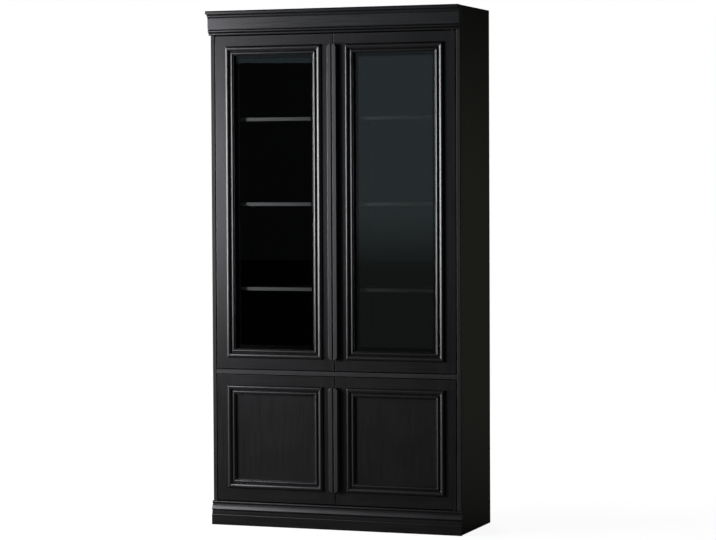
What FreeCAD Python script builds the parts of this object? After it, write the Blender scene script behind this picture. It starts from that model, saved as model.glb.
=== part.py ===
"""Tall bookcase: two glazed doors over two panelled doors, 1100 x 450 x 2150 mm.

Millimetres, +Z up, +X to the right and +Y to the back as seen by someone facing the doors.
The origin is on the floor, under the middle of the whole piece.
Every sub-part is one STEP file in parts/, named after its node.
"""

import FreeCAD
import Part

import os

Vector = FreeCAD.Vector

# ---------------------------------------------------------------- driving dimensions

# Overall size, over the cornice
WIDTH = 1100.0
DEPTH = 450.0
HEIGHT = 2150.0

# The case
BOARD = 18.0  # sides, fixed boards, partitions and rails
BACK = 5.0
BASE_TOP = 100.0  # floor to the top face of the bottom board
MIDDLE_TOP = 654.0  # floor to the top face of the middle board
CORNICE_HEIGHT = 100.0
END_LIP = 3.0  # cornice and plinth past each side panel
HOUSING = 6.0  # how deep the fixed boards are let into the sides
HOUSING_STOP = 20.0  # plain front stretch of a housed board
REBATE = 8.0  # width of the rebates for the back panel
SIDE_ROUND = 2.5  # eased front edges of the side panels
FIT = 0.1  # round every piece that is let into another

# Cornice
CORNICE_PROJECTION = 50.0
CROWN_HEIGHT = 30.0
CROWN_LIP = 14.0
LIP_UNDER_ROUND = 1.5
LIP_TOP_ROUND = 5.0
COVE_TOP_SET_BACK = 8.0  # from the front of the lip
COVE_BULGE = 0.25
FOOT_SET_OUT = 6.0  # small cove and fillet at the foot, from the face of the frieze
FOOT_COVE_HEIGHT = 6.0
FOOT_FILLET_HEIGHT = 3.5
FRIEZE = 24.5
BEAD = 11.5  # height of each bead under the frieze
UPPER_BEAD = 23.0  # how far each bead stands forward
LOWER_BEAD = 15.0
BEAD_QUIRK = 2.5  # sunk strip between the beads and the frieze

# Plinth
PLINTH_BOARD = 13.0
PLINTH_BOARD_HEIGHT = 46.0
PLINTH_BOARD_ROUND = 6.0
PLINTH_BAND = 9.0  # plain band above the board
PLINTH_BAND_HEIGHT = 11.0
PLINTH_QUIRK = 5.5  # sunk strip between the band and the sloping member
PLINTH_QUIRK_HEIGHT = 3.5
PLINTH_NOSE = 12.5  # front of the sloping member
PLINTH_NOSE_HEIGHT = 5.5
PLINTH_NOSE_BULGE = 0.5
PLINTH_SLOPE_HEIGHT = 19.0
PLINTH_SLOPE_BULGE = 0.08
PLINTH_NECK = 2.5
PLINTH_NECK_HEIGHT = 4.0
PLINTH_BEAD_BULGE = 0.85

# Doors
DOOR = 22.0
SIDE_GAP = 2.5  # beside and between the doors
END_GAP = 3.0  # above and below the doors
DOOR_ROUND = 1.5
OUTER_MARGIN = 48.0  # upright edges of a door to its moulding
MEETING_MARGIN = 50.0
TOP_MARGIN = 43.0
UPPER_BOTTOM_MARGIN = 47.0
LOWER_BOTTOM_MARGIN = 53.0
PARTITION_GAP = 2.5  # doors to the partitions
TENON = 12.0
TENON_THICKNESS = 8.0
TENON_SHOULDER = 10.0

# Bolection moulding round each glass or panel
MOULD_WIDTH = 40.0
MOULD_SEAT = 30.0  # the part of its width that lies on the frame
MOULD_SIDE = 4.0  # height of its outer side
MOULD_CREST = 10.5
MOULD_CREST_AT = 10.0  # crest, valley and bead from the outer side
MOULD_VALLEY = 3.0
MOULD_VALLEY_AT = 21.5
MOULD_BEAD_AT = 22.5
MOULD_BEAD = 13.5
MOULD_LIP = 2.5
ROUND_BULGE = 0.35  # outer side up to the crest
OVOLO_BULGE = 0.22  # crest down to the valley
BEAD_BULGE = 0.65

# Glass, its retainers and the wooden panels
GLASS_INSET = 10.0  # face of the door to the glass
GLASS = 4.0
GLASS_GAP = 1.0
RETAINER = 24.0
PANEL_INSET = 2.5  # face of the door to the panel
PANEL = 13.5
PANEL_GAP = 1.0
TONGUE = 7.0  # tongue round the panel, inside the grooves of its frame
TONGUE_THICKNESS = 6.0

# Long strip handles on the meeting stiles
HANDLE_WIDTH = 18.0
HANDLE_PROJECTION = 24.0
HANDLE_INSET = 0.75  # from the meeting edge of the door
HANDLE_CORNER = 14.0
HANDLE_CHAMFER = 1.5
FINGER_RADIUS = 7.0
FINGER_DEPTH = 6.0
FINGER_AT = 10.0  # middle of the finger groove, from the face of the door

# Pivots: a plate with a pin in the case, a bush in the door
PIVOT_EDGE = 14.0  # pivot to the outer edge of the door
PIVOT_FACE = 9.0  # pivot to the face of the door
PIN = 3.0  # radius
RUNNING_FIT = 0.05
PIN_REACH = 10.0  # pin inside the door
BUSH = 5.0  # radius
BUSH_LENGTH = 12.0
PLATE_LENGTH = 40.0
PLATE_WIDTH = 14.0
PLATE = 2.5
PLATE_TAIL = 8.0  # plate beyond the pivot

# Magnetic catches under the boards, and the strike plates on the doors
CATCH = (34.0, 28.0, 12.0)  # length, depth and height of the body
CATCH_EAR = (11.0, 12.0, 2.0)
CATCH_CLEAR = 3.0  # ear to the partition
STRIKE = 1.5
STRIKE_GAP = 0.3
STRIKE_EDGE = 1.0  # strike plate to the top edge of the door

# Loose shelves on battens
SHELF = 15.0
SHELF_SETBACK = 45.0
SHELF_END_GAP = 1.0
SHELF_ROUND = 1.5
UPPER_SHELVES = 3
UPPER_BAY = 330.0  # clear height under the first upper shelf
SHELF_PITCH = 354.0
LOWER_BAY = 265.0  # clear height under the lower shelf
BATTEN = 12.0
BATTEN_HEIGHT = 18.0
BATTEN_SETBACK = 20.0  # from the front edge of the shelf
BATTEN_CHAMFER = 12.0

# Holes for wall fixings in the rear top rail
WALL_HOLE = 3.0  # radius
WALL_HOLE_SPACING = 800.0

# ---------------------------------------------------------------- derived places

FRONT = CORNICE_PROJECTION - DEPTH / 2  # front edges of the side panels
REAR = DEPTH / 2
BACK_FACE = REAR - BACK
SIDE_OUT = WIDTH / 2 - END_LIP
SIDE_IN = SIDE_OUT - BOARD
HALF_BOARD = BOARD / 2
BASE_UNDER = BASE_TOP - BOARD
MIDDLE_UNDER = MIDDLE_TOP - BOARD
TOP_UNDER = HEIGHT - CORNICE_HEIGHT
TOP_OVER = TOP_UNDER + BOARD
DOOR_BACK = FRONT + DOOR
PARTITION_FRONT = DOOR_BACK + PARTITION_GAP
DOOR_OUTER = SIDE_IN - SIDE_GAP
DOOR_MEETING = SIDE_GAP / 2
PIVOT_X = DOOR_OUTER - PIVOT_EDGE
PIVOT_Y = FRONT + PIVOT_FACE
CATCH_START = HALF_BOARD + CATCH_CLEAR + CATCH_EAR[0]
CATCH_FRONT = DOOR_BACK + STRIKE + STRIKE_GAP
SHELF_FRONT = FRONT + SHELF_SETBACK
SHELF_REAR = BACK_FACE - SHELF_END_GAP
QUARTER = 0.4142  # bulge of a quarter circle
HALF = 1.0  # bulge of a half circle


# ---------------------------------------------------------------- helpers


def save(name, *solids):
    """Write one node, which is one solid or a group of separate ones."""
    shape = solids[0] if len(solids) == 1 else Part.makeCompound(list(solids))
    shape.exportStep(f"parts/{name}.step")
    print(f"{name}: {len(solids)} solid(s), {shape.Volume / 1000:.1f} cm3")


def box(x, y, z):
    """A box between pairs of coordinates, given in either order."""
    low = [min(pair) for pair in (x, y, z)]
    high = [max(pair) for pair in (x, y, z)]
    return Part.makeBox(*[b - a for a, b in zip(low, high)], Vector(*low))


def rod(radius, start, direction, length):
    return Part.makeCylinder(radius, length, Vector(*start), Vector(*direction))


def upright_rod(radius, x, y, z):
    """A rod along Z between two heights, given in either order."""
    return rod(radius, (x, y, min(z)), (0, 0, 1), abs(z[1] - z[0]))


def mirrored(shape):
    """The same piece on the other side of the bookcase."""
    return shape.mirror(Vector(0, 0, 0), Vector(1, 0, 0))


def edges_at(solid, **place):
    """The edges whose middle point has the given coordinates."""

    def fits(point):
        return all(abs(getattr(point, axis) - value) < FIT / 2 for axis, value in place.items())

    return [edge for edge in solid.Edges if fits(edge.CenterOfMass)]


def section(start, *moves):
    """A face from an outline in (forward, up).

    A move is the next point, or the next point and a bulge: the height of an arc over half
    its chord, positive to the left of the way round.
    """
    edges = []
    here = Vector(0, -start[0], start[1])
    first = here
    for move in (*moves, start):
        there = Vector(0, -move[0], move[1])
        if len(move) == 3:
            chord = there - here
            left = Vector(0, chord.z, -chord.y) * (move[2] / 2)
            edges.append(Part.Arc(here, (here + there) * 0.5 + left, there).toShape())
        else:
            edges.append(Part.makeLine(here, there))
        here = there
    assert here.isEqual(first, FIT)
    return Part.Face(Part.Wire(edges))


def across(profile):
    """A moulding over the full width, from a section in front of the case."""
    profile.translate(Vector(-WIDTH / 2, FRONT, 0))
    return profile.extrude(Vector(WIDTH, 0, 0))


# ---------------------------------------------------------------- the case


def side_panel():
    """The right side panel, with housings for the fixed boards and a rebate for the back."""
    panel = box((SIDE_IN, SIDE_OUT), (FRONT, REAR), (0, HEIGHT))
    panel = panel.makeFillet(SIDE_ROUND, edges_at(panel, y=FRONT, z=HEIGHT / 2))
    housing_y = (FRONT + HOUSING_STOP - FIT, BACK_FACE)
    cuts = [
        box((SIDE_IN, SIDE_IN + HOUSING + FIT), housing_y, (under - FIT, under + BOARD + FIT))
        for under in (BASE_UNDER, MIDDLE_UNDER, TOP_UNDER)
    ]
    cuts.append(box((SIDE_IN, SIDE_IN + REBATE), (BACK_FACE, REAR), (BASE_UNDER, TOP_OVER)))
    return panel.cut(cuts)


def fixed_board(under):
    """A board let into both sides behind a plain front stretch that fits between them."""
    z = (under, under + BOARD)
    front = box((-SIDE_IN, SIDE_IN), (FRONT, BACK_FACE), z)
    let_in = SIDE_IN + HOUSING
    rest = box((-let_in, let_in), (FRONT + HOUSING_STOP, BACK_FACE), z)
    return front.fuse(rest).removeSplitter()


def plate(side, face, into, grow=0.0):
    """A pivot plate let into a board's face; into is 1 for up and -1 for down."""
    outer = PIVOT_X + PLATE_TAIL
    x = (side * (outer + grow), side * (outer - PLATE_LENGTH - grow))
    half = PLATE_WIDTH / 2 + grow
    return box(x, (PIVOT_Y - half, PIVOT_Y + half), (face, face + into * PLATE))


def pivot(side, face, into):
    """A plate and the pin that stands out of it into the door."""
    tip = face - into * (END_GAP + PIN_REACH)
    return plate(side, face, into).fuse(
        upright_rod(PIN, side * PIVOT_X, PIVOT_Y, (face, tip))
    )


def catch(under):
    """A magnetic catch with two fixing ears, right of the partition."""
    length, depth, height = CATCH
    ear, ear_depth, ear_thickness = CATCH_EAR
    end = CATCH_START + length
    body = box((CATCH_START, end), (CATCH_FRONT, CATCH_FRONT + depth), (under - height, under))
    middle = CATCH_FRONT + depth / 2
    ear_y = (middle - ear_depth / 2, middle + ear_depth / 2)
    ears = box((CATCH_START - ear, end + ear), ear_y, (under - ear_thickness, under))
    return body.fuse(ears).removeSplitter()


def case():
    right = side_panel()
    save("side_panel_right", right)
    save("side_panel_left", mirrored(right))

    pivot_faces = {
        "bottom_board": [(BASE_TOP, -1)],
        "middle_board": [(MIDDLE_UNDER, 1), (MIDDLE_TOP, -1)],
        "top_board": [(TOP_UNDER, 1)],
    }
    unders = {"bottom_board": BASE_UNDER, "middle_board": MIDDLE_UNDER, "top_board": TOP_UNDER}
    pivots = []
    for name, faces in pivot_faces.items():
        places = [(side, face, into) for side in (-1, 1) for face, into in faces]
        save(name, fixed_board(unders[name]).cut([plate(*place, FIT) for place in places]))
        pivots += [pivot(*place) for place in places]
    save("case_pivots", *pivots)

    catches = [catch(MIDDLE_UNDER), catch(TOP_UNDER)]
    save("door_catches", *catches, *[mirrored(piece) for piece in catches])

    x = (-HALF_BOARD, HALF_BOARD)
    y = (PARTITION_FRONT, BACK_FACE)
    save("upper_partition", box(x, y, (MIDDLE_TOP, TOP_UNDER)))
    save("lower_partition", box(x, y, (BASE_TOP, MIDDLE_UNDER)))

    edge = SIDE_IN + REBATE - FIT
    save("back_panel", box((-edge, edge), (BACK_FACE, REAR), (BASE_UNDER, TOP_OVER)))


def cross_rails():
    """The rails between the sides, under the bottom board and above the top board."""
    x = (-SIDE_IN, SIDE_IN)
    front = (FRONT, FRONT + BOARD)
    rear = (REAR - BOARD, REAR)
    save("plinth_rails", box(x, front, (0, BASE_UNDER)), box(x, rear, (0, BASE_UNDER)))
    save("top_rail", box(x, front, (TOP_OVER, HEIGHT)))
    level = (TOP_OVER + HEIGHT) / 2
    holes = [
        rod(WALL_HOLE, (side * WALL_HOLE_SPACING / 2, rear[0], level), (0, 1, 0), BOARD)
        for side in (-1, 1)
    ]
    save("wall_rail", box(x, rear, (TOP_OVER, HEIGHT)).cut(holes))


# ---------------------------------------------------------------- cornice and plinth


def cornice():
    lip = CORNICE_PROJECTION
    lip_under = HEIGHT - CROWN_LIP
    crown_under = HEIGHT - CROWN_HEIGHT
    foot = FRIEZE + FOOT_SET_OUT
    fillet_under = crown_under + FOOT_COVE_HEIGHT
    crown = section(
        (FRIEZE, crown_under),
        (foot, fillet_under, COVE_BULGE),
        (foot, fillet_under + FOOT_FILLET_HEIGHT),
        (lip - COVE_TOP_SET_BACK, lip_under, COVE_BULGE),
        (lip - LIP_UNDER_ROUND, lip_under),
        (lip, lip_under + LIP_UNDER_ROUND, -QUARTER),
        (lip, HEIGHT - LIP_TOP_ROUND),
        (lip - LIP_TOP_ROUND, HEIGHT, -QUARTER),
        (FRIEZE, HEIGHT),
    )
    save("crown_moulding", across(crown))

    beads_top = TOP_UNDER + 2 * BEAD
    frieze_under = beads_top + BEAD_QUIRK
    frieze = section((0, frieze_under), (FRIEZE, frieze_under), (FRIEZE, HEIGHT), (0, HEIGHT))
    save("frieze_board", across(frieze))

    radius = BEAD / 2
    beads = section(
        (0, TOP_UNDER),
        (LOWER_BEAD - radius, TOP_UNDER),
        (LOWER_BEAD - radius, TOP_UNDER + BEAD, -HALF),
        (UPPER_BEAD - radius, TOP_UNDER + BEAD),
        (UPPER_BEAD - radius, beads_top, -HALF),
        (UPPER_BEAD - radius, frieze_under),
        (0, frieze_under),
    )
    save("bead_moulding", across(beads))


def plinth():
    shoulder = PLINTH_BOARD_HEIGHT - PLINTH_BOARD_ROUND
    board = section(
        (0, 0),
        (PLINTH_BOARD, 0),
        (PLINTH_BOARD, shoulder),
        (PLINTH_BOARD - PLINTH_BOARD_ROUND, PLINTH_BOARD_HEIGHT, -QUARTER),
        (0, PLINTH_BOARD_HEIGHT),
    )
    save("plinth_board", across(board))

    band_top = PLINTH_BOARD_HEIGHT + PLINTH_BAND_HEIGHT
    quirk_top = band_top + PLINTH_QUIRK_HEIGHT
    nose_top = quirk_top + PLINTH_NOSE_HEIGHT
    slope_top = nose_top + PLINTH_SLOPE_HEIGHT
    moulding = section(
        (0, PLINTH_BOARD_HEIGHT),
        (PLINTH_BAND, PLINTH_BOARD_HEIGHT),
        (PLINTH_BAND, band_top),
        (PLINTH_QUIRK, band_top),
        (PLINTH_QUIRK, quirk_top),
        (PLINTH_NOSE, nose_top, -PLINTH_NOSE_BULGE),
        (PLINTH_NECK, slope_top, -PLINTH_SLOPE_BULGE),
        (PLINTH_NECK, slope_top + PLINTH_NECK_HEIGHT),
        (0, BASE_TOP, -PLINTH_BEAD_BULGE),
    )
    save("plinth_moulding", across(moulding))


# ---------------------------------------------------------------- shelves


def shelf(under):
    """A loose shelf of the right half, with a rounded front."""
    x = (HALF_BOARD + SHELF_END_GAP, SIDE_IN - SHELF_END_GAP)
    board = box(x, (SHELF_FRONT, SHELF_REAR), (under, under + SHELF))
    return board.makeFillet(SHELF_ROUND, edges_at(board, y=SHELF_FRONT, x=sum(x) / 2))


def batten(wall, way, under):
    """A batten on a wall under a shelf's end, chamfered at its lower front corner."""
    front = SHELF_FRONT + BATTEN_SETBACK
    low = under - BATTEN_HEIGHT
    corners = (
        (front, under),
        (front, low + BATTEN_CHAMFER),
        (front + BATTEN_CHAMFER, low),
        (SHELF_REAR, low),
        (SHELF_REAR, under),
        (front, under),
    )
    side = Part.Face(Part.makePolygon([Vector(wall, y, z) for y, z in corners]))
    return side.extrude(Vector(way * BATTEN, 0, 0))


def shelves():
    seats = [MIDDLE_TOP + UPPER_BAY + SHELF_PITCH * k for k in range(UPPER_SHELVES)]
    for number, under in enumerate(seats, 1):
        save(f"upper_right_shelf_{number}", shelf(under))
        save(f"upper_left_shelf_{number}", mirrored(shelf(under)))
    low_seat = BASE_TOP + LOWER_BAY
    save("lower_shelves", shelf(low_seat), mirrored(shelf(low_seat)))
    walls = ((HALF_BOARD, 1), (SIDE_IN, -1))
    battens = [batten(*wall, under) for under in (low_seat, *seats) for wall in walls]
    save("shelf_battens", *battens, *[mirrored(piece) for piece in battens])


# ---------------------------------------------------------------- doors


def moulding_section(inset):
    """The bolection moulding: forward from the face of the door, and inwards from its edge."""
    return section(
        (0, 0),
        (0, MOULD_SEAT),
        (-inset, MOULD_SEAT),
        (-inset, MOULD_WIDTH),
        (MOULD_LIP, MOULD_WIDTH),
        (MOULD_VALLEY, MOULD_BEAD_AT + MOULD_BEAD),
        (MOULD_VALLEY, MOULD_BEAD_AT, BEAD_BULGE),
        (MOULD_VALLEY, MOULD_VALLEY_AT),
        (MOULD_CREST, MOULD_CREST_AT, OVOLO_BULGE),
        (MOULD_SIDE, 0, ROUND_BULGE),
    )


def retainer_section():
    front = -GLASS_INSET - GLASS
    return section((-DOOR, 0), (-DOOR, RETAINER), (front, RETAINER), (front, 0))


def mitred_ring(profile, width, x, z):
    """Four mitred lengths round a rectangle, from the bottom one on; their width goes inwards."""
    long_x = x[1] - x[0]
    long_z = z[1] - z[0]
    places = (
        (long_x, 0, x[0], z[0]),
        (long_z, -90, x[1], z[0]),
        (long_x, 180, x[1], z[1]),
        (long_z, 90, x[0], z[1]),
    )
    ring = []
    for length, turn, at_x, at_z in places:
        corners = ((0, 0), (length, 0), (length - width, width), (width, width), (0, 0))
        mitres = Part.Face(Part.makePolygon([Vector(a, -DOOR, b) for a, b in corners]))
        strip = profile.extrude(Vector(length, 0, 0))
        piece = strip.common(mitres.extrude(Vector(0, 3 * DOOR, 0)))
        piece.rotate(Vector(0, 0, 0), Vector(0, 1, 0), turn)
        piece.translate(Vector(at_x, FRONT, at_z))
        ring.append(piece)
    return ring


def tenons(opening_x, z, grow=0.0):
    """A bar with the tenons of a rail at its ends, or its mortises when grown by the fit."""
    x = (opening_x[0] - TENON - grow, opening_x[1] + TENON + grow)
    middle = FRONT + DOOR / 2
    half = TENON_THICKNESS / 2 + grow
    height = (z[0] + TENON_SHOULDER - grow, z[1] - TENON_SHOULDER + grow)
    return box(x, (middle - half, middle + half), height)


def tongue(opening_x, opening_z, grow=0.0, reach=TONGUE):
    """The thin plate whose edges are a panel's tongues, or its grooves when grown by the fit."""
    back = FRONT + PANEL_INSET + PANEL
    y = (back - TONGUE_THICKNESS - grow, back + grow)
    x = (opening_x[0] - reach, opening_x[1] + reach)
    return box(x, y, (opening_z[0] - reach, opening_z[1] + reach))


def panel(opening_x, opening_z):
    """The flat panel of a lower door, with tongues along the back of its edges."""
    y = (FRONT + PANEL_INSET, FRONT + PANEL_INSET + PANEL)
    x = (opening_x[0] + PANEL_GAP, opening_x[1] - PANEL_GAP)
    field = box(x, y, (opening_z[0] + PANEL_GAP, opening_z[1] - PANEL_GAP))
    return field.fuse(tongue(opening_x, opening_z)).removeSplitter()


def bush_hole(end, into):
    """The hole for a bush; end is the end of the stile and into points along it."""
    return upright_rod(BUSH, PIVOT_X, PIVOT_Y, (end, end + into * BUSH_LENGTH))


def bush(end, into):
    """A bush, closed at its far end."""
    bore_end = end + into * (PIN_REACH + BUSH_LENGTH) / 2
    bore = upright_rod(PIN + RUNNING_FIT, PIVOT_X, PIVOT_Y, (end, bore_end))
    return bush_hole(end, into).cut(bore)


def strike(top):
    """The steel plate on the back of the door that the magnetic catch holds."""
    x = (CATCH_START, CATCH_START + CATCH[0])
    catch_under = top + END_GAP - CATCH[2]
    return box(x, (DOOR_BACK, DOOR_BACK + STRIKE), (catch_under, top - STRIKE_EDGE))


def handle(z):
    """The right strip handle, with round outer corners and a finger groove along its side."""
    inner = DOOR_MEETING + HANDLE_INSET
    outer = inner + HANDLE_WIDTH
    front = FRONT - HANDLE_PROJECTION
    bar = box((inner, outer), (front, FRONT), z)
    corners = edges_at(bar, x=outer, z=z[0]) + edges_at(bar, x=outer, z=z[1])
    bar = bar.makeFillet(HANDLE_CORNER, corners)
    bar = bar.makeChamfer(HANDLE_CHAMFER, edges_at(bar, y=front))
    groove_x = outer + FINGER_RADIUS - FINGER_DEPTH
    return bar.cut(upright_rod(FINGER_RADIUS, groove_x, FRONT - FINGER_AT, z))


def door(tier, z, bottom_margin, glazed):
    """The right door of a tier and its mirror image on the left."""
    depth = (FRONT, DOOR_BACK)
    slab = box((DOOR_MEETING, DOOR_OUTER), depth, z)
    slab = slab.makeFillet(DOOR_ROUND, edges_at(slab, y=FRONT))
    mould_x = (DOOR_MEETING + MEETING_MARGIN, DOOR_OUTER - OUTER_MARGIN)
    mould_z = (z[0] + bottom_margin, z[1] - TOP_MARGIN)
    opening_x = (mould_x[0] + MOULD_SEAT, mould_x[1] - MOULD_SEAT)
    opening_z = (mould_z[0] + MOULD_SEAT, mould_z[1] - MOULD_SEAT)
    rail_heights = {"bottom_rail": (z[0], opening_z[0]), "top_rail": (opening_z[1], z[1])}

    mortises = [tenons(opening_x, height, FIT) for height in rail_heights.values()]
    frame = {
        "meeting_stile": slab.common(box((DOOR_MEETING, opening_x[0]), depth, z)).cut(mortises),
        "outer_stile": slab.common(box((opening_x[1], DOOR_OUTER), depth, z)).cut(mortises),
    }
    for name, height in rail_heights.items():
        body = slab.common(box(opening_x, depth, height))
        frame[name] = body.fuse(tenons(opening_x, height)).removeSplitter()
    ends = ((z[0], 1), (z[1], -1))
    frame["outer_stile"] = frame["outer_stile"].cut([bush_hole(*end) for end in ends])

    if glazed:
        inset = GLASS_INSET
        y = (FRONT + inset, FRONT + inset + GLASS)
        x = (opening_x[0] + GLASS_GAP, opening_x[1] - GLASS_GAP)
        glass = box(x, y, (opening_z[0] + GLASS_GAP, opening_z[1] - GLASS_GAP))
        slips = mitred_ring(retainer_section(), RETAINER, opening_x, opening_z)
        filling = {"glass": [glass], "glass_retainers": slips}
    else:
        inset = PANEL_INSET
        groove = tongue(opening_x, opening_z, FIT, TONGUE + PANEL_GAP)
        frame = {name: member.cut(groove) for name, member in frame.items()}
        filling = {"panel": [panel(opening_x, opening_z)]}

    pieces = {name: [member] for name, member in frame.items()} | filling
    pieces["moulding"] = mitred_ring(moulding_section(inset), MOULD_WIDTH, mould_x, mould_z)
    pieces["handle"] = [handle(mould_z)]
    pieces["fittings"] = [bush(*end) for end in ends] + [strike(z[1])]
    for name, solids in pieces.items():
        save(f"{tier}_right_door_{name}", *solids)
        save(f"{tier}_left_door_{name}", *[mirrored(solid) for solid in solids])


# ---------------------------------------------------------------- build

os.makedirs("parts", exist_ok=True)
case()
cross_rails()
cornice()
plinth()
shelves()
door("upper", (MIDDLE_TOP + END_GAP, TOP_UNDER - END_GAP), UPPER_BOTTOM_MARGIN, glazed=True)
door("lower", (BASE_TOP + END_GAP, MIDDLE_UNDER - END_GAP), LOWER_BOTTOM_MARGIN, glazed=False)
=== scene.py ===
# %% [markdown]
# # A tall black bookcase with glass doors
#
# The joiner's model gives every board, door and pivot its size and place. This lesson dresses that
# model: it paints the wood, puts glass in the upper doors, cuts smooth mouldings and adds screws.
# Everything is in metres: +X runs to the right of someone facing the doors, +Y to the back, +Z up.

import math

import bmesh
import bpy
from mathutils import Matrix, Vector


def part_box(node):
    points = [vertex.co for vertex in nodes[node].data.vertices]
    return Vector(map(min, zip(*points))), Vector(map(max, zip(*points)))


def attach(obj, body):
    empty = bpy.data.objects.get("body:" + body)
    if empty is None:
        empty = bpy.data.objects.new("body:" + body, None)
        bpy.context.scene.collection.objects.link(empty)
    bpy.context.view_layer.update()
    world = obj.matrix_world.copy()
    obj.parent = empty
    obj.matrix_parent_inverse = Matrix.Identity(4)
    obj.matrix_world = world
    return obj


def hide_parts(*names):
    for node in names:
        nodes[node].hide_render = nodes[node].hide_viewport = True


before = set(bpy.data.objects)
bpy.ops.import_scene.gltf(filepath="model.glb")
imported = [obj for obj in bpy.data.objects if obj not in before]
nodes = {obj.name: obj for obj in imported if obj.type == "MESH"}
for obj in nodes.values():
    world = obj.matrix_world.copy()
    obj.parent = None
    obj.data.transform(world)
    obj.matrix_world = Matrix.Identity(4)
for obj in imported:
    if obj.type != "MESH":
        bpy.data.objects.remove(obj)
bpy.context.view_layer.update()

# %% [markdown]
# ## Where the camera stands
#
# A tall piece of furniture is drawn with upright edges when the camera looks almost level. Here it
# stands far off to the right with a long lens, at chest height, and looks down by two degrees. The
# angles are turned one after the other: yaw, then pitch, then a trace of roll.

# %% Camera
CAMERA_PLACE = (3.5659, -9.6846, 1.4679)
YAW = math.radians(20.0015)
PITCH_DOWN = math.radians(2.2182)
ROLL = math.radians(-0.270)
LENS_MM = 124.03
SENSOR_MM = 36.0

camera_data = bpy.data.cameras.new("camera")
camera_data.sensor_fit = "HORIZONTAL"
camera_data.sensor_width = SENSOR_MM
camera_data.lens = LENS_MM
camera = bpy.data.objects.new("camera", camera_data)
bpy.context.collection.objects.link(camera)
level_view = Matrix.Rotation(math.radians(90) - PITCH_DOWN, 4, "X")
turned_view = Matrix.Rotation(YAW, 4, "Z") @ level_view @ Matrix.Rotation(ROLL, 4, "Z")
camera.matrix_world = Matrix.Translation(CAMERA_PLACE) @ turned_view
bpy.context.scene.camera = camera
bpy.context.scene.view_settings.view_transform = "Standard"
print("camera", LENS_MM, "mm, yaw", round(math.degrees(YAW), 1))

# %% [markdown]
# ## Nodes in few words
#
# Every material, lamp and shape below is a small graph of nodes. These helpers make one node with
# its inputs set or linked, and the three patterns that come back in most finishes: a value spread
# over a range, a colour between two tones, and the place of a point on its object.


# %% Node helpers
def new_material(name):
    """An empty node material and its output node."""
    material = bpy.data.materials.new(name)
    material.use_nodes = True
    material.node_tree.nodes.clear()
    output = material.node_tree.nodes.new("ShaderNodeOutputMaterial")
    return material, output


def set_or_link(tree, socket, value):
    """Gives a socket a constant, or links another node's socket to it."""
    if isinstance(value, bpy.types.NodeSocket):
        tree.links.new(value, socket)
    else:
        socket.default_value = value


def add(tree, kind, **inputs):
    """A node with its inputs set by name; an underscore stands for a space."""
    node = tree.nodes.new(kind)
    for name, value in inputs.items():
        set_or_link(tree, node.inputs[name.replace("_", " ")], value)
    return node


def math_node(tree, operation, a, b=0.0):
    """The result of one Math node, its two inputs given as numbers or sockets."""
    node = tree.nodes.new("ShaderNodeMath")
    node.operation = operation
    for socket, value in zip(node.inputs, (a, b)):
        set_or_link(tree, socket, value)
    return node.outputs[0]


def mix_shaders(tree, share, first, second):
    """Two shaders, mixed by the share of the second."""
    mixed = add(tree, "ShaderNodeMixShader", Fac=share)
    tree.links.new(first.outputs[0], mixed.inputs[1])
    tree.links.new(second.outputs[0], mixed.inputs[2])
    return mixed


def rescale(tree, value, low, high):
    """Spreads a 0 to 1 value over a range."""
    node = add(tree, "ShaderNodeMapRange", Value=value, To_Min=low, To_Max=high)
    return node.outputs["Result"]


def two_tones(tree, value, dark, light, stops=(0.0, 1.0)):
    """A colour that goes from a dark tone to a light one between two stops of a value."""
    ramp = add(tree, "ShaderNodeValToRGB", Fac=value)
    for element, stop, colour in zip(ramp.color_ramp.elements, stops, (dark, light)):
        element.position = stop
        element.color = (*colour, 1.0)
    return ramp.outputs["Color"]


def object_place(tree):
    """The place of the shaded point, in the coordinates of its object."""
    return tree.nodes.new("ShaderNodeTexCoord").outputs["Object"]


print("node helpers ready")

# %% [markdown]
# ## Floor and room
#
# The bookcase stands in a white studio. The world is white where the camera looks straight at it
# and dim for everything else, so the panes mirror a dim room, as they do in a shop. The floor is
# pale paint that glows a little for the camera alone. Near the plinth the glow is weaker, so that
# the shadow shows there.

# %% World and floor
WHITE = (1.0, 1.0, 1.0, 1.0)
DIM_ROOM = (0.9, 0.95, 1.0, 1.0)
WORLD_LIGHT = 0.02
FLOOR_SIZE = 60.0
FLOOR_GLOW = (0.93, 1.0)  # near the bookcase and far from it
NEAR, FAR = 1.0, 4.0
FLOOR_DARK = (0.16, 0.16, 0.16)
FLOOR_LIGHT = (0.20, 0.20, 0.20)
SPECKLES = 40.0  # cycles in a metre

world = bpy.data.worlds.new("studio")
world.use_nodes = True
room = world.node_tree
room.nodes.clear()
path = room.nodes.new("ShaderNodeLightPath").outputs
seen = math_node(room, "MAXIMUM", path["Is Camera Ray"], path["Is Transmission Ray"])
dim = add(room, "ShaderNodeBackground", Color=DIM_ROOM, Strength=WORLD_LIGHT)
white = add(room, "ShaderNodeBackground", Color=WHITE, Strength=1.0)
either = mix_shaders(room, seen, dim, white)
world_output = room.nodes.new("ShaderNodeOutputWorld")
room.links.new(either.outputs[0], world_output.inputs["Surface"])
bpy.context.scene.world = world

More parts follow.
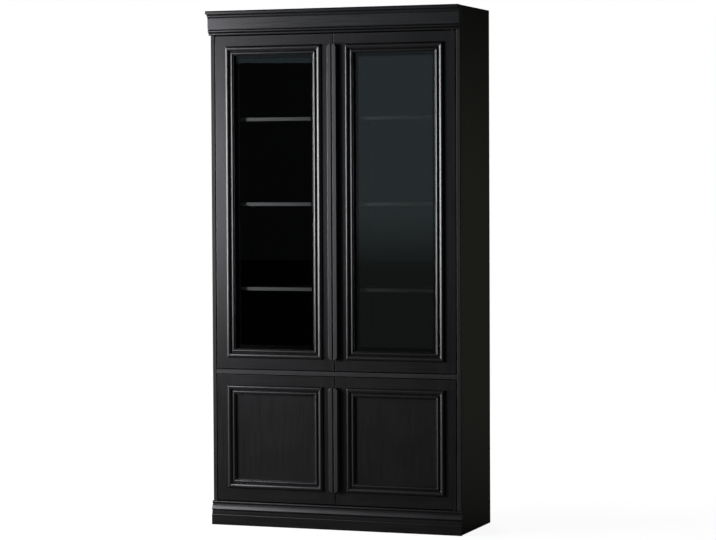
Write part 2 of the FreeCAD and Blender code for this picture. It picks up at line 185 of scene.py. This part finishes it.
bpy.ops.mesh.primitive_grid_add(x_subdivisions=2, y_subdivisions=2, size=FLOOR_SIZE)
floor = bpy.context.object
floor.name = "floor"
floor_paint, out = new_material("floor_paint")
tree = floor_paint.node_tree
where = object_place(tree)
away = add(tree, "ShaderNodeVectorMath", Vector=where)
away.operation = "LENGTH"
reach = add(tree, "ShaderNodeMapRange", Value=away.outputs["Value"], From_Min=NEAR, From_Max=FAR,
            To_Min=FLOOR_GLOW[0], To_Max=FLOOR_GLOW[1])
ray = tree.nodes.new("ShaderNodeLightPath").outputs["Is Camera Ray"]
glow = add(tree, "ShaderNodeEmission", Color=WHITE,
           Strength=math_node(tree, "MULTIPLY", reach.outputs["Result"], ray))
speckle = add(tree, "ShaderNodeTexNoise", Vector=where, Scale=SPECKLES)
pale = add(tree, "ShaderNodeBsdfDiffuse",
           Color=two_tones(tree, speckle.outputs["Fac"], FLOOR_DARK, FLOOR_LIGHT))
both = tree.nodes.new("ShaderNodeAddShader")
tree.links.new(glow.outputs[0], both.inputs[0])
tree.links.new(pale.outputs[0], both.inputs[1])
tree.links.new(both.outputs[0], out.inputs["Surface"])
floor.data.materials.append(floor_paint)
print("floor", FLOOR_SIZE, "m wide, world light", WORLD_LIGHT)

# %% [markdown]
# ## Lamps
#
# Black gloss is seen by what it mirrors, so the lamps are placed like things to look at. Two soft
# boxes, one above the other, stand close to the left front, and a strong lamp far to the left fills
# in behind them: the left half of the front shines and the right half fades. A lamp at the left
# side and one behind keep those faces readable. A weak yellowish lamp at the right rear skims the
# right side panel. The last one, high in front, is what the top of the panes mirrors.


# %% Soft lamps
def soft_lamp(name, place, target, size, power, colour=(1.0, 1.0, 1.0)):
    """A rectangular lamp that faces a point."""
    data = bpy.data.lights.new(name, "AREA")
    data.shape = "RECTANGLE"
    data.size, data.size_y = size
    data.energy = power
    data.color = colour
    lamp = bpy.data.objects.new(name, data)
    bpy.context.collection.objects.link(lamp)
    towards = Vector(target) - Vector(place)
    turned = towards.to_track_quat("-Z", "Y").to_matrix().to_4x4()
    lamp.matrix_world = Matrix.Translation(place) @ turned
    return lamp


LAMPS = {  # place, point that it faces, width and height, watts, colour
    "soft_box": ((-1.7, -2.0, 1.4), (0.0, -0.2, 1.2), (0.6, 1.0), 21.0, (1.0, 0.985, 1.08)),
    "soft_box_above": ((-1.8, -2.2, 2.2), (0.0, -0.2, 1.2), (0.6, 1.0), 7.5, (1.0, 0.985, 1.06)),
    "far_left": ((-6.0, -3.8, 1.6), (0.0, -0.2, 1.2), (1.4, 1.8), 200.0, (1.0, 0.99, 1.0)),
    "side": ((-4.0, -0.8, 1.5), (0.0, -0.2, 1.2), (1.0, 1.6), 100.0, (1.0, 1.0, 1.0)),
    "right": ((2.2, 2.6, 1.0), (0.3, 0.2, 1.0), (0.8, 2.0), 2.4, (0.97, 1.0, 0.78)),
    "behind": ((-1.6, 4.2, 2.8), (0.0, 0.2, 1.1), (1.6, 1.6), 90.0, (1.0, 1.0, 1.0)),
    "pane_glow_above": (
        (-2.2, -5.2, 2.45), (-1.5, -3.6, 2.40), (0.8, 0.55), 0.32, (0.70, 1.0, 1.08),
    ),
}
for name, setting in LAMPS.items():
    soft_lamp(name, *setting)
print("lamps", list(LAMPS))

# %% [markdown]
# ## Glow in the panes
#
# The right pane mirrors a tall dim lamp that stands in front, out of the picture. A lamp with a
# hard end would leave a line across the glass, so this one has nodes of its own: its colour fades
# from the upper part to the lower part.

# %% Fading lamp
PANE_GLOW = ((-1.5, -5.2, 1.47), (-0.95, -3.6, 1.46), (0.8, 2.46), 1.9)
GLOW_FADE = (  # place from the lamp's lower edge to its upper edge, and colour there
    (0.05, (0.24, 0.29, 0.27)), (0.24, (0.26, 0.31, 0.29)),
    (0.42, (0.75, 0.93, 0.99)), (1.0, (0.78, 1.0, 1.12)),
)

pane_glow = soft_lamp("pane_glow", *PANE_GLOW)
pane_glow.data.use_nodes = True
tree = pane_glow.data.node_tree
across = tree.nodes.new("ShaderNodeNewGeometry").outputs["Parametric"]
height = add(tree, "ShaderNodeSeparateXYZ", Vector=across).outputs["Y"]
fade = add(tree, "ShaderNodeValToRGB", Fac=height)
fade.color_ramp.interpolation = "EASE"
for place, _ in GLOW_FADE[1:-1]:
    fade.color_ramp.elements.new(place)
for element, (place, colour) in zip(fade.color_ramp.elements, GLOW_FADE):
    element.position = place
    element.color = (*colour, 1.0)
tree.links.new(fade.outputs["Color"], tree.nodes["Emission"].inputs["Color"])
print("glow", PANE_GLOW[2], "m, with", len(GLOW_FADE), "stops")

# %% [markdown]
# ## Black paint
#
# The wood is brushed with black paint that keeps a slight sheen. A brush leaves fine streaks along
# each member, so upright pieces need streaks along Z and rails need them along X. The streaks are
# noise stretched in one direction, and they move three things at once: the colour a little, the
# roughness a little, and the height by less than a tenth of a millimetre. The Bevel node rounds the
# shading of sharp arrises, where real paint never makes a knife edge.
#
# The same paint looks different on each member, because some were rubbed down more. The frieze,
# the strip between the doors, the plinth and the handles shine more than the frames. The mouldings
# have a smooth lacquer without streaks. The sides and the inside are duller. The inside is a little
# paler.
# The sides are paler still and a little olive: their own black paint with painted light on it, a
# tone that stands in for the light falling on the side panels.

# %% Brushed paint
STREAKS_ACROSS = 260.0  # cycles in a metre, as the next two
STREAKS_ALONG = 5.0
PATCHES = 7.0
TONE_STOPS = (0.1, 0.45)  # where the noise is darkest and lightest
GLOSS_CHANGE = 0.10
RELIEF_STRENGTH = 0.45
RELIEF_HEIGHT = 0.0002
ARRIS_RADIUS = 0.0008
ARRIS_SAMPLES = 4
PAINT_DARK = (0.0050, 0.0049, 0.0051)
PAINT_LIGHT = (0.0115, 0.0112, 0.0117)


def streaks_along(tree, place, along, roughness):
    """Noise that is stretched into streaks along one axis."""
    stretch = [STREAKS_ALONG if axis == along else STREAKS_ACROSS for axis in "XYZ"]
    lines = add(tree, "ShaderNodeMapping", Vector=place, Scale=stretch)
    noise = add(tree, "ShaderNodeTexNoise", Vector=lines.outputs[0], Scale=1.0, Detail=4.0,
                Roughness=roughness)
    return noise.outputs["Fac"]


def black_paint(name, along, roughness, sheen=0.42, brushed=1.0, dark=PAINT_DARK,
                light=PAINT_LIGHT):
    """Brushed paint whose streaks run along one axis of the bookcase."""
    material, out = new_material(name)
    tree = material.node_tree
    place = object_place(tree)
    streaks = streaks_along(tree, place, along, 0.6)
    patches = add(tree, "ShaderNodeTexNoise", Vector=place, Scale=PATCHES, Detail=3.0)
    blend = math_node(tree, "MULTIPLY", streaks, patches.outputs["Fac"])
    tone = two_tones(tree, blend, dark, light, TONE_STOPS)
    change = GLOSS_CHANGE * brushed
    gloss = rescale(tree, streaks, roughness - change, roughness + change)
    soft_edge = add(tree, "ShaderNodeBevel", Radius=ARRIS_RADIUS)
    soft_edge.samples = ARRIS_SAMPLES
    relief = add(tree, "ShaderNodeBump", Strength=RELIEF_STRENGTH * brushed,
                 Distance=RELIEF_HEIGHT, Height=streaks, Normal=soft_edge.outputs[0])
    paint = add(tree, "ShaderNodeBsdfPrincipled", Base_Color=tone, Roughness=gloss,
                Normal=relief.outputs[0], Specular_IOR_Level=sheen)
    tree.links.new(paint.outputs[0], out.inputs["Surface"])
    return material


# The sides: their black paint made paler and a little olive, painted light that stands in for the
# light falling on the side panels.
SIDE_TONES_PAINTED_LIGHTER = {"dark": (0.0115, 0.0118, 0.0092), "light": (0.0235, 0.0240, 0.0185)}
INSIDE_TONES = {"dark": (0.007, 0.007, 0.007), "light": (0.013, 0.013, 0.012)}
paint_upright = black_paint("paint_upright", "Z", 0.34)
paint_level = black_paint("paint_level", "X", 0.34)
frieze_paint = black_paint("frieze_paint", "X", 0.29, sheen=0.92)
strip_paint = black_paint("strip_paint", "X", 0.34, sheen=1.0)
plinth_paint = black_paint("plinth_paint", "X", 0.33, sheen=0.56)
handle_paint = black_paint("handle_paint", "Z", 0.38, sheen=1.0, brushed=0.5)
lacquer_upright = black_paint("lacquer_upright", "Z", 0.30, sheen=0.65, brushed=0.0)
lacquer_level = black_paint("lacquer_level", "X", 0.26, sheen=0.8, brushed=0.0)
paint_side_painted_lighter = black_paint("paint_side_painted_lighter", "Z", 0.5, sheen=0.32, **SIDE_TONES_PAINTED_LIGHTER)
inside_board = black_paint("inside_board", "Z", 0.8, sheen=0.15, **INSIDE_TONES)
print("coats of black paint ready")

# %% [markdown]
# ## Shelf edges
#
# The shelves are dull black boards. Their front edges shine like the black frames of the doors, and
# that
# shine is painted on: a painted highlight. Each shelf is one board in the joiner's model, so one
# material
# paints it: where the Object Y of a point lies in the first half millimetre it takes the pale
# colour of the painted highlight, elsewhere the dull black.

# %% Shelf with a painted highlight
SHELF_FRONT = -0.13
# depth of the pale painted highlight behind the front face
PAINTED_HIGHLIGHT_DEPTH = 0.0005
SHADED = 0.8  # darkest streak as a share of the colour


def board_with_painted_highlight(name, pale, black):
    """Dull black board whose front edge carries a pale, slightly streaked painted highlight."""
    material, out = new_material(name)
    tree = material.node_tree
    place = object_place(tree)
    depth = add(tree, "ShaderNodeSeparateXYZ", Vector=place).outputs["Y"]
    # the front half millimetre, where the pale painted highlight goes
    edge = math_node(tree, "LESS_THAN", depth, SHELF_FRONT + PAINTED_HIGHLIGHT_DEPTH)
    streaks = streaks_along(tree, place, "X", 0.5)
    tones = [two_tones(tree, streaks, [SHADED * c for c in colour], colour)
             for colour in (black, pale)]
    colour = tree.nodes.new("ShaderNodeMix")
    colour.data_type = "RGBA"
    tree.links.new(edge, colour.inputs["Factor"])
    tree.links.new(tones[0], colour.inputs[6])  # A and B of a colour mix
    tree.links.new(tones[1], colour.inputs[7])
    board = add(tree, "ShaderNodeBsdfPrincipled", Base_Color=colour.outputs[2],
                Roughness=rescale(tree, streaks, 0.6, 0.75), Specular_IOR_Level=0.2)
    tree.links.new(board.outputs[0], out.inputs["Surface"])
    return material


# the pale colour is a painted highlight on the black front edge; the black is the board's own
shelf_with_painted_highlight = board_with_painted_highlight("shelf_with_painted_highlight", (0.35, 0.35, 0.34), (0.012, 0.012, 0.012))
print("edged shelf")

# %% [markdown]
# ## Clear glass
#
# A pane four millimetres thick bends the view too little to notice. So light goes straight through
# it, a trace of grey green is taken off, and the rest is a plain mirror that grows stronger at low
# angles, by the Fresnel law.

# %% Pane
GLASS_TINT = (0.95, 0.965, 0.96, 1.0)
GLASS_IOR = 1.5

clear_glass, out = new_material("clear_glass")
tree = clear_glass.node_tree
see_through = add(tree, "ShaderNodeBsdfTransparent", Color=GLASS_TINT)
mirror = add(tree, "ShaderNodeBsdfGlossy", Color=WHITE, Roughness=0.0)
edge_on = add(tree, "ShaderNodeFresnel", IOR=GLASS_IOR)
pane = mix_shaders(tree, edge_on.outputs[0], see_through, mirror)
tree.links.new(pane.outputs[0], out.inputs["Surface"])
print("clear glass, index", GLASS_IOR)

# %% [markdown]
# ## Steel and plastic
#
# The fittings are small and mostly in the dark: zinc plated strikes and screws, darker pivots and
# plastic catches. A fine mottling keeps them from looking like flat colour when a door is open.

# %% Finishes of the fittings
MOTTLES = 900.0  # cycles in a metre
MOTTLE_TONE = 0.85  # darkest mottle as a share of the colour
MOTTLE_GLOSS = 0.08


def small_part(name, base, metallic, roughness):
    """A small fitting's finish: fine mottling in its colour and its gloss."""
    material, out = new_material(name)
    tree = material.node_tree
    grain = add(tree, "ShaderNodeTexNoise", Vector=object_place(tree), Scale=MOTTLES, Detail=3.0)
    mottle = grain.outputs["Fac"]
    tone = two_tones(tree, mottle, [MOTTLE_TONE * c for c in base], base)
    gloss = rescale(tree, mottle, roughness - MOTTLE_GLOSS, roughness + MOTTLE_GLOSS)
    body = add(tree, "ShaderNodeBsdfPrincipled", Base_Color=tone, Roughness=gloss,
               Metallic=metallic)
    tree.links.new(body.outputs[0], out.inputs["Surface"])
    return material


zinc = small_part("zinc_plated_steel", (0.62, 0.62, 0.60), 1.0, 0.35)
pivot_steel = small_part("burnished_steel", (0.14, 0.14, 0.14), 1.0, 0.5)
catch_plastic = small_part("catch_plastic", (0.025, 0.025, 0.026), 0.0, 0.5)
print("steel and plastic")

# %% [markdown]
# ## Which finish goes where
#
# Every piece of the joiner's model has one material slot, so painting is a matter of sorting names.
# The brush follows the grain: along Z on stiles and sides, along X on rails, boards and the frieze.
# Narrow names come before wide ones, because the first rule that fits is taken.

# %% Paint every piece
HIDDEN = (
    "back_panel", "upper_partition", "lower_partition", "shelf_battens", "wall_rail",
    "plinth_rails",
)
LEVEL_WORDS = ("rail", "board", "moulding")


def finish_for(name):
    """The finish of one piece, by its name."""
    if name.endswith("glass"):
        return clear_glass
    if name.endswith("fittings"):
        return zinc
    if name == "case_pivots":
        return pivot_steel
    if name == "door_catches":
        return catch_plastic
    if name.endswith("handle"):
        return handle_paint
    if name.startswith("side_panel"):
        return paint_side_painted_lighter
    if name in HIDDEN or name.endswith("retainers"):
        return inside_board
    if name == "frieze_board":
        return frieze_paint
    if name == "middle_board":
        return strip_paint
    if "shel" in name:  # shelf and shelves
        return shelf_with_painted_highlight
    if any(word in name for word in LEVEL_WORDS):
        return paint_level
    return paint_upright


for name, node in nodes.items():
    for slot in node.material_slots:
        slot.material = finish_for(name)
print("painted", len(nodes), "pieces")

# %% [markdown]
# ## Mouldings
#
# The joiner's model gives the mouldings their true sections, but a solid modeller turns each curve
# into a few flat facets, and a glossy moulding shows every one of them. So each moulding is cut
# again here from the same section, with a dozen steps in each arc. The section is written as the
# joiner would mark it out: points in millimetres, and for an arc also its bulge, which is its
# height over half its chord.

# %% Section of a moulding
MM = 0.001
FRONT = -0.175  # front edges of the sides, and faces of the doors
ARC_STEPS = 12
SHARP = math.radians(32.0)


def trace(start, *moves):
    """Points of an outline in mm; a third number in a move is the bulge of an arc."""
    points = [Vector(start)]
    for move in moves:
        here, there = points[-1], Vector(move[:2])
        if len(move) == 3:
            half = (there - here) / 2
            bulge = move[2]
            side = Vector((-half.y, half.x)) * ((1 - bulge * bulge) / (2 * bulge))
            centre = here + half - side
            sweep = -4 * math.atan(bulge)
            for step in range(1, ARC_STEPS):
                turn = Matrix.Rotation(sweep * step / ARC_STEPS, 2)
                points.append(centre + turn @ (here - centre))
        points.append(there)
    return points


def outline_mesh(name, points):
    """A closed outline as a mesh of points in order, in metres."""
    mesh = bpy.data.meshes.new(name)
    mesh.from_pydata([(p.x * MM, p.y * MM, 0.0) for p in points], [], [])
    return mesh


def smooth_shaded(mesh):
    """Shades the mesh smooth, except over sharp edges."""
    work = bmesh.new()
    work.from_mesh(mesh)
    bmesh.ops.recalc_face_normals(work, faces=work.faces)
    work.to_mesh(mesh)
    work.free()
    mesh.shade_smooth()
    mesh.set_sharp_from_angle(angle=SHARP)


print("an arc is cut in", ARC_STEPS, "steps")

# %% [markdown]
# ## Straight mouldings of the cornice and the plinth
#
# Crown, double bead and plinth moulding run from side to side and are cut off square. Extruding
# the section is all it takes. An array of short pieces or a curve with a bevel would give the same
# shape with more to keep in step.


# %% Crown, beads and plinth moulding
def straight_moulding(node, finish, *moves):
    """Replaces a moulding of the case by a smooth one; the section is in (forward, up)."""
    left, right = (corner[0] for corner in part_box(node))
    section = trace(*moves)
    count = len(section)
    ends = [(x, FRONT - p.x * MM, p.y * MM) for x in (left, right) for p in section]
    sides = [(i, (i + 1) % count, (i + 1) % count + count, i + count) for i in range(count)]
    caps = [list(range(count)), list(range(count, 2 * count))]
    mesh = bpy.data.meshes.new(node + "_smooth")
    mesh.from_pydata(ends, [], sides + caps)
    smooth_shaded(mesh)
    mesh.materials.append(finish)
    moulding = bpy.data.objects.new(node + "_smooth", mesh)
    bpy.context.collection.objects.link(moulding)
    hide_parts(node)
    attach(moulding, "case")
    print(node, count, "points in its section")


HALF_ROUND = 1.0
QUARTER_ROUND = math.tan(math.pi / 8)
straight_moulding(
    "crown_moulding", lacquer_level,
    (24.5, 2120), (30.5, 2126, 0.25), (30.5, 2129.5), (42, 2136, 0.25), (48.5, 2136),  # two coves
    (50, 2137.5, -QUARTER_ROUND), (50, 2145), (45, 2150, -QUARTER_ROUND), (24.5, 2150),  # lip
)
straight_moulding(
    "bead_moulding", lacquer_level,
    (0, 2050), (9.25, 2050), (9.25, 2061.5, -HALF_ROUND),  # lower bead
    (17.25, 2061.5), (17.25, 2073, -HALF_ROUND),  # upper bead
    (17.25, 2075.5), (0, 2075.5),  # sunk strip
)
straight_moulding(
    "plinth_moulding", plinth_paint,
    (0, 46), (9, 46), (9, 57), (5.5, 57), (5.5, 60.5),  # band and sunk strip
    (12.5, 66, -0.5), (2.5, 85, -0.08),  # nose and slope
    (2.5, 89), (0, 100, -0.85),  # neck and bead
)

# %% [markdown]
# ## Mitred mouldings of the doors
#
# Each door is framed by a bolection moulding: four lengths, mitred at the corners, that stand proud
# of the frame, with a round, an ovolo, a bead and a narrow lip towards the pane. Sweeping a section
# along a rectangle thins it at the mitres. So a geometry node tree lays a grid instead: its columns
# are the points of the section, its rows are the four corners, and each point goes to the corner of
# its own rectangle, set in by the point's distance from the edge. The tree also paints the lengths
# along their grain: upright ones and level ones.


# %% Trees and their inputs
def new_tree(name, **inputs):
    """A geometry node tree with named inputs; returns it, its inputs and its result socket."""
    tree = bpy.data.node_groups.new(name, "GeometryNodeTree")
    tree.interface.new_socket("Geometry", in_out="INPUT", socket_type="NodeSocketGeometry")
    for label, kind in inputs.items():
        tree.interface.new_socket(label, in_out="INPUT", socket_type="NodeSocket" + kind)
    tree.interface.new_socket("Geometry", in_out="OUTPUT", socket_type="NodeSocketGeometry")
    given = tree.nodes.new("NodeGroupInput").outputs
    result = tree.nodes.new("NodeGroupOutput").inputs[0]
    return tree, given, result


def grow(name, mesh, tree, **values):
    """An object with the plain mesh that the tree makes of a starting mesh."""
    grown = bpy.data.objects.new(name, mesh)
    bpy.context.collection.objects.link(grown)
    modifier = grown.modifiers.new(tree.name, "NODES")
    modifier.node_group = tree
    for item in tree.interface.items_tree:
        if item.in_out == "INPUT" and item.name in values:
            modifier[item.identifier] = values[item.name]
    depsgraph = bpy.context.evaluated_depsgraph_get()
    plain = bpy.data.meshes.new_from_object(grown.evaluated_get(depsgraph))
    grown.modifiers.clear()
    grown.data = plain
    return grown


print("tree helpers ready")

# %% Tree of a mitred ring
RING_ROWS = 5  # four corners, and the first one again
FIRST_CORNER = 2.5  # quarter turns from +X
WELD = 0.00001

ring_tree, given, result = new_tree(
    "mitred_ring", Width="Float", Height="Float", Middle="Vector", Upright="Material",
    Level="Material",
)


def ring_math(operation, a, b=0.0):
    """One Math node of the ring tree."""
    return math_node(ring_tree, operation, a, b)


outline = given["Geometry"]
size = add(ring_tree, "GeometryNodeAttributeDomainSize", Geometry=outline)
count = size.outputs["Point Count"]
around = ring_math("ADD", count, 1)
grid = add(ring_tree, "GeometryNodeMeshGrid", Size_X=1.0, Size_Y=1.0, Vertices_X=RING_ROWS,
           Vertices_Y=around)
index = ring_tree.nodes.new("GeometryNodeInputIndex").outputs[0]
corner = ring_math("FLOOR", ring_math("DIVIDE", index, around))
step = ring_math("MODULO", ring_math("MODULO", index, around), count)
place = ring_tree.nodes.new("GeometryNodeInputPosition").outputs[0]
point = ring_tree.nodes.new("GeometryNodeSampleIndex")
point.data_type = "FLOAT_VECTOR"
for socket, source in (("Geometry", outline), ("Value", place), ("Index", step)):
    ring_tree.links.new(source, point.inputs[socket])
split = add(ring_tree, "ShaderNodeSeparateXYZ", Vector=point.outputs["Value"])
forward, inward = split.outputs["X"], split.outputs["Y"]
turn = ring_math("MULTIPLY", ring_math("ADD", corner, FIRST_CORNER), math.pi / 2)


def from_middle(long, wave):
    """The distance of a corner from the middle of the ring, along one axis."""
    half = ring_math("SUBTRACT", ring_math("MULTIPLY", long, 0.5), inward)
    side = ring_math("SIGN", ring_math(wave, turn))
    return ring_math("MULTIPLY", side, half)


spot = add(ring_tree, "ShaderNodeCombineXYZ", X=from_middle(given["Width"], "COSINE"),
           Y=ring_math("MULTIPLY", forward, -1.0), Z=from_middle(given["Height"], "SINE"))
moved = add(ring_tree, "GeometryNodeSetPosition", Geometry=grid.outputs["Mesh"],
            Position=spot.outputs[0])
welded = add(ring_tree, "GeometryNodeMergeByDistance", Geometry=moved.outputs[0], Distance=WELD)
set_up = add(ring_tree, "GeometryNodeTransform", Geometry=welded.outputs[0],
             Translation=given["Middle"])
real = add(ring_tree, "GeometryNodeRealizeInstances", Geometry=set_up.outputs[0])
from_centre = ring_tree.nodes.new("ShaderNodeVectorMath")
from_centre.operation = "SUBTRACT"
ring_tree.links.new(place, from_centre.inputs[0])
ring_tree.links.new(given["Middle"], from_centre.inputs[1])


def to_edge(long, axis):
    """How far a face lies inside the outer edge, along one axis."""
    part = add(ring_tree, "ShaderNodeSeparateXYZ", Vector=from_centre.outputs[0]).outputs[axis]
    return ring_math("SUBTRACT", ring_math("MULTIPLY", long, 0.5), ring_math("ABSOLUTE", part))


stands = ring_math("LESS_THAN", to_edge(given["Width"], "X"), to_edge(given["Height"], "Z"))
level = add(ring_tree, "GeometryNodeSetMaterial", Geometry=real.outputs[0],
            Material=given["Level"])
upright = add(ring_tree, "GeometryNodeSetMaterial", Geometry=level.outputs[0], Selection=stands,
              Material=given["Upright"])
ring_tree.links.new(upright.outputs[0], result)
print("mitred ring:", len(ring_tree.nodes), "nodes")

# %% Door mouldings
GLASS_SEAT = -10  # mm forward of the door's face: back of the moulding's lip
PANEL_SEAT = -2.5
REBATE = 30  # mm inward from the outer edge: step in the back of the moulding
INNER_EDGE = 38
MITRE_SLACK = 0.01 * MM


def door_section(seat):
    """The bolection moulding in (forward, inward), from its outer edge on the door's face."""
    return trace(
        (0, 0), (0, REBATE), (seat, REBATE), (seat, INNER_EDGE),  # back
        (4.4, INNER_EDGE), (5, 36.8), (3, 35.7),  # lip
        (3, 22.5, 0.65), (3, 21.5), (10.5, 10, 0.22), (4, 0, 0.35),  # bead, ovolo and round
    )


for tier, seat in (("upper", GLASS_SEAT), ("lower", PANEL_SEAT)):
    for side in ("left", "right"):
        body = f"{tier}_{side}_door"
        low, high = (Vector(corner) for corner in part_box(body + "_moulding"))
        outline = outline_mesh(body + "_section", door_section(seat))
        middle = (low + high) / 2
        middle.y = FRONT
        moulding = grow(
            body + "_mitred_moulding", outline, ring_tree, Width=high.x - low.x,
            Height=high.z - low.z, Middle=middle, Upright=lacquer_upright, Level=lacquer_level,
        )
        mesh = moulding.data
        smooth_shaded(mesh)
        for edge in mesh.edges:
            start, end = (mesh.vertices[i].co for i in edge.vertices)
            run = end - start
            if abs(abs(run.x) - abs(run.z)) < MITRE_SLACK:
                edge.use_edge_sharp = True  # the line of a mitre
        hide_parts(body + "_moulding")
        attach(moulding, body)
        print(moulding.name, len(mesh.polygons), "faces")

# %% [markdown]
# ## Screws
#
# Small countersunk screws hold the pivot plates, the catches with their strike plates and the back
# panel. They repeat, so one geometry node tree makes one head with a cross recess and puts it on
# every point of a mesh. Each point carries the way its screw faces, and a fixed seed turns each
# recess a little differently, as a screwdriver leaves them.

# %% Screw tree
HEAD_SIDES = 24
HEAD_TOP = 0.9  # in radii of the head, as the two sizes of the cross
CROSS_LENGTH = 1.2
CROSS_WIDTH = 0.24
CROSS_LIFT = 0.9  # in heights of the head, as how deep it is sunk
HEAD_SUNK = -0.95
SEED = 7

screw_tree, given, result = new_tree(
    "countersunk_screws", Radius="Float", Height="Float", Steel="Material",
)


def of_head(measure, share):
    """A share of the head's Radius or Height."""
    return math_node(screw_tree, "MULTIPLY", given[measure], share)


head = add(screw_tree, "GeometryNodeMeshCone", Vertices=HEAD_SIDES,
           Radius_Bottom=given["Radius"], Radius_Top=of_head("Radius", HEAD_TOP),
           Depth=given["Height"])
wide, narrow = of_head("Radius", CROSS_LENGTH), of_head("Radius", CROSS_WIDTH)
lift = add(screw_tree, "ShaderNodeCombineXYZ", Z=of_head("Height", CROSS_LIFT))
cut = head
for x, y in ((wide, narrow), (narrow, wide)):
    bar_size = add(screw_tree, "ShaderNodeCombineXYZ", X=x, Y=y, Z=given["Height"])
    bar = add(screw_tree, "GeometryNodeMeshCube", Size=bar_size.outputs[0])
    raised = add(screw_tree, "GeometryNodeTransform", Geometry=bar.outputs["Mesh"],
                 Translation=lift.outputs[0])
    cut = add(screw_tree, "GeometryNodeMeshBoolean", Mesh_1=cut.outputs["Mesh"])
    cut.operation = "DIFFERENCE"
    cut.solver = "EXACT"
    screw_tree.links.new(raised.outputs[0], cut.inputs["Mesh 2"])
sunk = add(screw_tree, "ShaderNodeCombineXYZ", Z=of_head("Height", HEAD_SUNK))
seated = add(screw_tree, "GeometryNodeTransform", Geometry=cut.outputs[0],
             Translation=sunk.outputs[0])
way = add(screw_tree, "GeometryNodeInputNamedAttribute", Name="way")
way.data_type = "FLOAT_VECTOR"
facing = add(screw_tree, "FunctionNodeAlignRotationToVector", Vector=way.outputs["Attribute"])
facing.axis = "Z"
spin = screw_tree.nodes.new("FunctionNodeRandomValue")
spin.data_type = "FLOAT_VECTOR"
spin.inputs["Max"].default_value = (0.0, 0.0, math.tau)
spin.inputs["Seed"].default_value = SEED
turned = add(screw_tree, "FunctionNodeRotateRotation", Rotation=facing.outputs[0],
             Rotate_By=spin.outputs[0])
turned.rotation_space = "LOCAL"
spread = add(screw_tree, "GeometryNodeInstanceOnPoints", Points=given["Geometry"],
             Instance=seated.outputs[0], Rotation=turned.outputs[0])
real = add(screw_tree, "GeometryNodeRealizeInstances", Geometry=spread.outputs[0])
steel = add(screw_tree, "GeometryNodeSetMaterial", Geometry=real.outputs[0],
            Material=given["Steel"])
screw_tree.links.new(steel.outputs[0], result)
print("screws:", len(screw_tree.nodes), "nodes")

# %% Screws of the fittings
HEAD_HEIGHT = 0.8 * MM
FITTING_HEAD = 2.0  # mm, radius
UP, DOWN, BACK = (0, 0, 1), (0, 0, -1), (0, 1, 0)
PLATE_FACES = ((654, UP), (2050, DOWN), (100, UP), (636, DOWN))  # mm: height, and way it faces
PLATE_SCREWS = (486, 499)  # mm from the middle of the bookcase, as for all the screws
PLATE_LINE = -166  # mm: Y of the screws
CATCH_EARS = (2048, 634)  # heights
CATCH_SCREWS = (17.5, 62.5)
CATCH_LINE = -137.2
STRIKES = (("upper", 2042), ("lower", 628))
STRIKE_SCREWS = (29, 51)
STRIKE_FACE = -151.5


def screws(name, body, radius, spots):
    """Screw heads on spots in mm, each with the way it faces; one object for one body."""
    mesh = bpy.data.meshes.new(name + "_spots")
    mesh.from_pydata([[c * MM for c in spot] for spot, _ in spots], [], [])
    ways = mesh.attributes.new("way", "FLOAT_VECTOR", "POINT")
    for item, (_, way) in zip(ways.data, spots):
        item.vector = way
    heads = grow(name, mesh, screw_tree, Radius=radius * MM, Height=HEAD_HEIGHT, Steel=zinc)
    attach(heads, body)
    print(name, len(spots))


def spots_at(xs, y, z, way, signs=(-1, 1)):
    """The same spots on the left side (-1), the right side (1) or both."""
    return [((sign * x, y, z), way) for sign in signs for x in xs]


plate_spots = [
    spot for z, way in PLATE_FACES for spot in spots_at(PLATE_SCREWS, PLATE_LINE, z, way)
]
screws("pivot_plate_screws", "case", FITTING_HEAD, plate_spots)
catch_spots = [spot for z in CATCH_EARS for spot in spots_at(CATCH_SCREWS, CATCH_LINE, z, DOWN)]
screws("catch_screws", "case", FITTING_HEAD, catch_spots)
for tier, z in STRIKES:
    for side, sign in (("left", -1), ("right", 1)):
        screws(f"{tier}_{side}_strike_screws", f"{tier}_{side}_door", FITTING_HEAD,
               spots_at(STRIKE_SCREWS, STRIKE_FACE, z, BACK, (sign,)))

# %% Screws round the back panel
BACK_HEAD = 3.0
BACK_SCREW_INSET = 4.0  # mm from the edge of the panel
BACK_SCREW_SPACING = 240.0


def evenly(start, end):
    """Places from start to end, no further apart than the spacing."""
    count = math.ceil((end - start) / BACK_SCREW_SPACING)
    return [start + (end - start) * i / count for i in range(count + 1)]


low, high = (Vector(corner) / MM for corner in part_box("back_panel"))
xs = evenly(low.x + BACK_SCREW_INSET, high.x - BACK_SCREW_INSET)
zs = evenly(low.z + BACK_SCREW_INSET, high.z - BACK_SCREW_INSET)
rim = [(x, z) for x in xs for z in (zs[0], zs[-1])]
rim += [(x, z) for x in (xs[0], xs[-1]) for z in zs[1:-1]]
screws("back_panel_screws", "case", BACK_HEAD, [((x, high.y, z), BACK) for x, z in rim])
